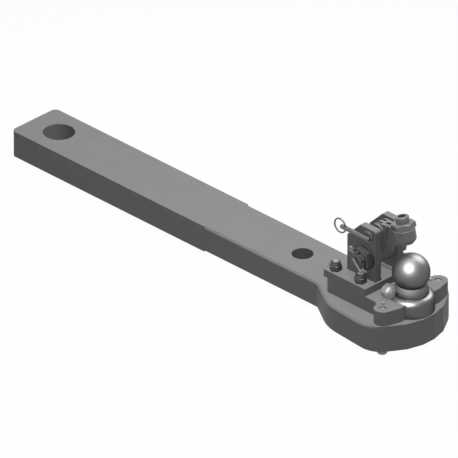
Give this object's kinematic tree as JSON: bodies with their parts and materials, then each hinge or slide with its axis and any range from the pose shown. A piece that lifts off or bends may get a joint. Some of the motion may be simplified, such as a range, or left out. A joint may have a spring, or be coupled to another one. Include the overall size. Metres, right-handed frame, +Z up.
{
  "type": "tractor drawbar with coupling ball",
  "caption": "Heavy drawbar with two pin bores, a widened head, a coupling ball held by a clamp block, and a lockable hold-down arm over the ball.",
  "frame": {"origin": "on the rear pin bore's axis, half way through the bar", "axes": "+X along the bar from the rear bore to the ball, +Y to the bar's left, +Z up along the bores"},
  "size_m": [1.1625, 0.2368, 0.2838],
  "materials": {
    "bar_steel": "satin dark grey coating over forged steel",
    "forged_block": "satin dark grey coating",
    "ball_steel": "turned and polished steel",
    "dark_fastener": "phosphated steel",
    "bright_steel": "plain drawn steel",
    "cast_arm": "cast, satin dark grey",
    "bronze": "bearing bronze, machined"
  },
  "bodies": {
    "frame": {"drawbar": "bar_steel", "clamp_block": "forged_block", "coupling_ball": "ball_steel", "ball_lock_plug": "ball_steel", "bracket_plate": "forged_block", "right_ear": "forged_block", "left_ear": "forged_block", "ear_welds": "forged_block", "pivot_bolt": "dark_fastener", "pivot_washer": "dark_fastener", "castle_nut": "dark_fastener", "split_pin": "bright_steel", "right_lug_bolt": "dark_fastener", "left_lug_bolt": "dark_fastener", "right_dowel": "bright_steel", "left_dowel": "bright_steel", "bracket_bolt_1": "dark_fastener", "bracket_bolt_2": "dark_fastener", "bracket_bolt_3": "dark_fastener", "bracket_bolt_4": "dark_fastener", "bracket_nut_1": "dark_fastener", "bracket_nut_2": "dark_fastener", "bracket_nut_3": "dark_fastener", "bracket_nut_4": "dark_fastener"},
    "arm": {"hold_down_arm": "cast_arm", "right_pivot_bush": "bronze", "left_pivot_bush": "bronze", "pressure_pad": "bright_steel", "pressure_spindle": "dark_fastener", "jam_nut": "dark_fastener"},
    "lock": {"lock_pin": "bright_steel", "handle_rod": "bright_steel"},
    "ring": {"pull_ring": "bright_steel"}
  },
  "joints": [
    {"name": "arm_pivot", "type": "hinge", "parent": "frame", "child": "arm", "pos_m": [0.941, 0, 0.13], "axis": [0, 1, 0], "range_deg": [0, 14]},
    {"name": "lock_pull", "type": "slide", "parent": "frame", "child": "lock", "axis": [0, -1, 0], "range_m": [0, 0.09]},
    {"name": "ring_swivel", "type": "hinge", "parent": "lock", "child": "ring", "pos_m": [0.8925, -0.0493, 0.182], "axis": [0, 0, 1], "range_deg": [-70, 90]}
  ]
}
